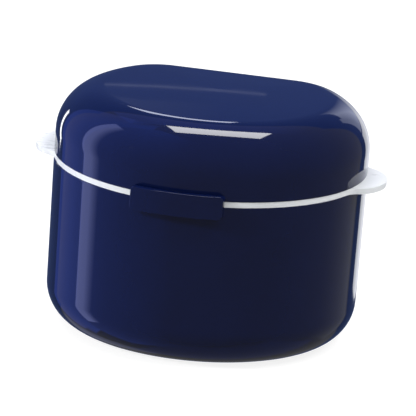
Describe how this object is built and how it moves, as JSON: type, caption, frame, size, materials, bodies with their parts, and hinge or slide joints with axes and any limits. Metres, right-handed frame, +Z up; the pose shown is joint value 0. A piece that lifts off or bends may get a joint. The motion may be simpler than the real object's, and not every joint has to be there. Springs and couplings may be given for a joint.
{
  "type": "denture case",
  "caption": "Round denture case with a flat back, hinged domed lid, front snap clasp and a drained lift-out rinse basket whose two ears stick out between lid and base.",
  "frame": {"origin": "on the surface the case stands on, under the middle of its overall footprint", "axes": "+X to the right along the ears and the hinge pin, +Y to the flat back with the hinge, -Y to the front with the clasp, +Z up"},
  "size_m": [0.108, 0.0966, 0.0744],
  "materials": {
    "shell": "glossy injection-moulded navy plastic",
    "basket": "glossy injection-moulded white plastic",
    "seal": "matt translucent white silicone",
    "pins": "drawn stainless wire"
  },
  "bodies": {
    "base": {"base_shell": "shell", "hinge_pin": "pins"},
    "lid": {"lid_shell": "shell", "lid_seal": "seal", "clasp_pin": "pins"},
    "clasp": {"front_clasp": "shell"},
    "basket": {"rinse_basket": "basket"}
  },
  "joints": [
    {"name": "lid_hinge", "type": "hinge", "parent": "base", "child": "lid", "pos_m": [0, 0.04468, 0.0527], "axis": [-1, 0, 0], "range_deg": [0, 110]},
    {"name": "clasp_hinge", "type": "hinge", "parent": "lid", "child": "clasp", "pos_m": [0, -0.04667, 0.05385], "axis": [-1, 0, 0], "range_deg": [0, 70]},
    {"name": "basket_lift", "type": "slide", "parent": "base", "child": "basket", "axis": [0, 0, 1], "range_m": [0, 0.0471]}
  ],
  "couplings": [
    {"joint": "basket_lift", "follows": "lid_hinge", "m_per_rad": 0.0245}
  ]
}
